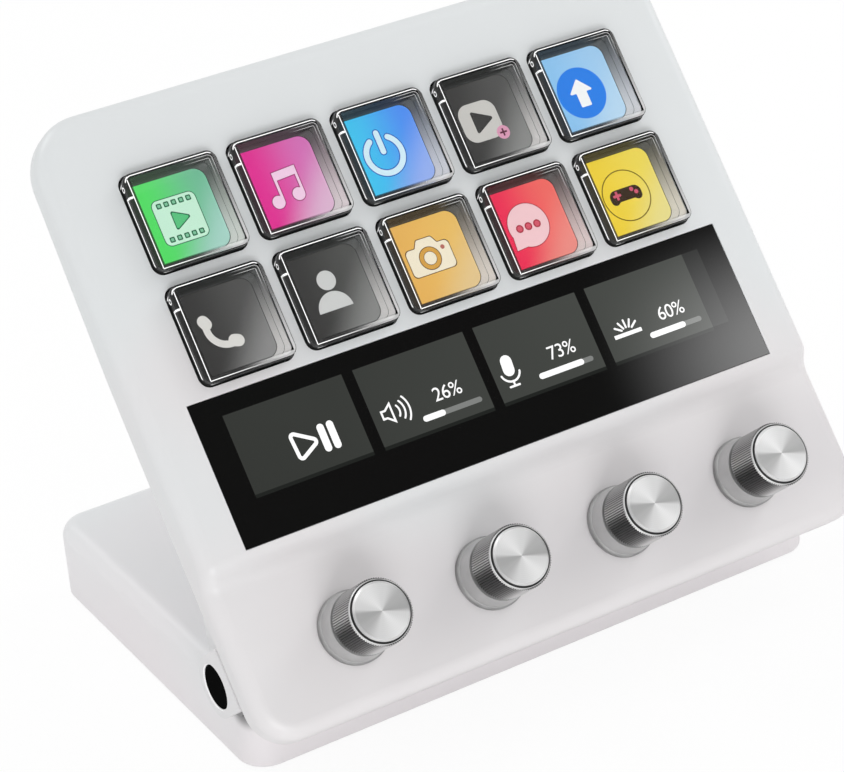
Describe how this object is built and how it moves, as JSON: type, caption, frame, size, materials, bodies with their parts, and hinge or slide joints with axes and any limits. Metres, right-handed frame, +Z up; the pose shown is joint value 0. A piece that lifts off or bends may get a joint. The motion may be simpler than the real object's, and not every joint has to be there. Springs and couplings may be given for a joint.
{
  "type": "macro keypad",
  "caption": "Desk macro keypad: a tilting face with clear display keys, a strip screen and push-turn knurled knobs on a weighted base.",
  "frame": {"origin": "on the desk plane under the middle of the base", "axes": "+X to the user's right, +Y away from the user, +Z up"},
  "size_m": [0.14, 0.1048, 0.1123],
  "materials": {
    "shell_white": "fine matte white",
    "key_clear": "clear polished",
    "screen_glass": "black gloss",
    "key_lcd": "lit picture tiles",
    "strip_lcd": "dark panel",
    "circuit_board": "solder mask",
    "black_plastic": "matte",
    "cap_black": "gloss black",
    "rubber": "matte",
    "steel": "plain",
    "collar_aluminium": "satin turned",
    "knob_aluminium": "straight knurl",
    "disc_aluminium": "spun face"
  },
  "bodies": {
    "base": {"base_shell": "shell_white", "base_cover": "shell_white", "base_weight": "steel", "grip_pad": "rubber", "base_screws": "steel", "hinge_pin_1": "steel", "hinge_pin_2": "steel"},
    "panel": {"front_housing": "shell_white", "rear_housing": "shell_white", "hinge_cap_1": "cap_black", "hinge_cap_2": "cap_black", "housing_screws": "steel", "key_frame": "black_plastic", "key_mat": "rubber", "key_display": "key_lcd", "strip_glass": "screen_glass", "strip_display": "strip_lcd", "main_board": "circuit_board", "knob_board": "circuit_board", "board_ribbon": "black_plastic", "usb_socket": "steel", "knob_collar_1": "collar_aluminium", "encoder_body_1": "black_plastic", "encoder_nut_1": "steel", "knob_collar_2": "collar_aluminium", "encoder_body_2": "black_plastic", "encoder_nut_2": "steel", "knob_collar_3": "collar_aluminium", "encoder_body_3": "black_plastic", "encoder_nut_3": "steel", "knob_collar_4": "collar_aluminium", "encoder_body_4": "black_plastic", "encoder_nut_4": "steel"},
    "key_1": {"keycap_1": "key_clear"},
    "key_2": {"keycap_2": "key_clear"},
    "key_3": {"keycap_3": "key_clear"},
    "key_4": {"keycap_4": "key_clear"},
    "key_5": {"keycap_5": "key_clear"},
    "key_6": {"keycap_6": "key_clear"},
    "key_7": {"keycap_7": "key_clear"},
    "key_8": {"keycap_8": "key_clear"},
    "key_9": {"keycap_9": "key_clear"},
    "key_10": {"keycap_10": "key_clear"},
    "knob_1_push": {"encoder_plunger_1": "black_plastic"},
    "knob_1_turn": {"encoder_shaft_1": "steel", "knob_sleeve_1": "knob_aluminium", "knob_face_1": "disc_aluminium"},
    "knob_2_push": {"encoder_plunger_2": "black_plastic"},
    "knob_2_turn": {"encoder_shaft_2": "steel", "knob_sleeve_2": "knob_aluminium", "knob_face_2": "disc_aluminium"},
    "knob_3_push": {"encoder_plunger_3": "black_plastic"},
    "knob_3_turn": {"encoder_shaft_3": "steel", "knob_sleeve_3": "knob_aluminium", "knob_face_3": "disc_aluminium"},
    "knob_4_push": {"encoder_plunger_4": "black_plastic"},
    "knob_4_turn": {"encoder_shaft_4": "steel", "knob_sleeve_4": "knob_aluminium", "knob_face_4": "disc_aluminium"}
  },
  "joints": [
    {"name": "panel_tilt", "type": "hinge", "parent": "base", "child": "panel", "pos_m": [0, -0.0365, 0.0189], "axis": [1, 0, 0], "range_deg": [-20, 20]},
    {"name": "key_1_press", "type": "slide", "parent": "panel", "child": "key_1", "axis": [0, 0.766, -0.6428], "range_m": [0, 0.0014], "stiffness_N_per_m": 400, "springref_m": -0.0006},
    {"name": "key_2_press", "type": "slide", "parent": "panel", "child": "key_2", "axis": [0, 0.766, -0.6428], "range_m": [0, 0.0014], "stiffness_N_per_m": 400, "springref_m": -0.0006},
    {"name": "key_3_press", "type": "slide", "parent": "panel", "child": "key_3", "axis": [0, 0.766, -0.6428], "range_m": [0, 0.0014], "stiffness_N_per_m": 400, "springref_m": -0.0006},
    {"name": "key_4_press", "type": "slide", "parent": "panel", "child": "key_4", "axis": [0, 0.766, -0.6428], "range_m": [0, 0.0014], "stiffness_N_per_m": 400, "springref_m": -0.0006},
    {"name": "key_5_press", "type": "slide", "parent": "panel", "child": "key_5", "axis": [0, 0.766, -0.6428], "range_m": [0, 0.0014], "stiffness_N_per_m": 400, "springref_m": -0.0006},
    {"name": "key_6_press", "type": "slide", "parent": "panel", "child": "key_6", "axis": [0, 0.766, -0.6428], "range_m": [0, 0.0014], "stiffness_N_per_m": 400, "springref_m": -0.0006},
    {"name": "key_7_press", "type": "slide", "parent": "panel", "child": "key_7", "axis": [0, 0.766, -0.6428], "range_m": [0, 0.0014], "stiffness_N_per_m": 400, "springref_m": -0.0006},
    {"name": "key_8_press", "type": "slide", "parent": "panel", "child": "key_8", "axis": [0, 0.766, -0.6428], "range_m": [0, 0.0014], "stiffness_N_per_m": 400, "springref_m": -0.0006},
    {"name": "key_9_press", "type": "slide", "parent": "panel", "child": "key_9", "axis": [0, 0.766, -0.6428], "range_m": [0, 0.0014], "stiffness_N_per_m": 400, "springref_m": -0.0006},
    {"name": "key_10_press", "type": "slide", "parent": "panel", "child": "key_10", "axis": [0, 0.766, -0.6428], "range_m": [0, 0.0014], "stiffness_N_per_m": 400, "springref_m": -0.0006},
    {"name": "knob_1_press", "type": "slide", "parent": "panel", "child": "knob_1_push", "axis": [0, 0.766, -0.6428], "range_m": [0, 0.0006], "stiffness_N_per_m": 1500, "springref_m": -0.0005},
    {"name": "knob_1_spin", "type": "hinge", "parent": "knob_1_push", "child": "knob_1_turn", "pos_m": [-0.0456, -0.0365, 0.0189], "axis": [0, -0.766, 0.6428], "continuous": true},
    {"name": "knob_2_press", "type": "slide", "parent": "panel", "child": "knob_2_push", "axis": [0, 0.766, -0.6428], "range_m": [0, 0.0006], "stiffness_N_per_m": 1500, "springref_m": -0.0005},
    {"name": "knob_2_spin", "type": "hinge", "parent": "knob_2_push", "child": "knob_2_turn", "pos_m": [-0.0152, -0.0365, 0.0189], "axis": [0, -0.766, 0.6428], "continuous": true},
    {"name": "knob_3_press", "type": "slide", "parent": "panel", "child": "knob_3_push", "axis": [0, 0.766, -0.6428], "range_m": [0, 0.0006], "stiffness_N_per_m": 1500, "springref_m": -0.0005},
    {"name": "knob_3_spin", "type": "hinge", "parent": "knob_3_push", "child": "knob_3_turn", "pos_m": [0.0152, -0.0365, 0.0189], "axis": [0, -0.766, 0.6428], "continuous": true},
    {"name": "knob_4_press", "type": "slide", "parent": "panel", "child": "knob_4_push", "axis": [0, 0.766, -0.6428], "range_m": [0, 0.0006], "stiffness_N_per_m": 1500, "springref_m": -0.0005},
    {"name": "knob_4_spin", "type": "hinge", "parent": "knob_4_push", "child": "knob_4_turn", "pos_m": [0.0456, -0.0365, 0.0189], "axis": [0, -0.766, 0.6428], "continuous": true}
  ]
}
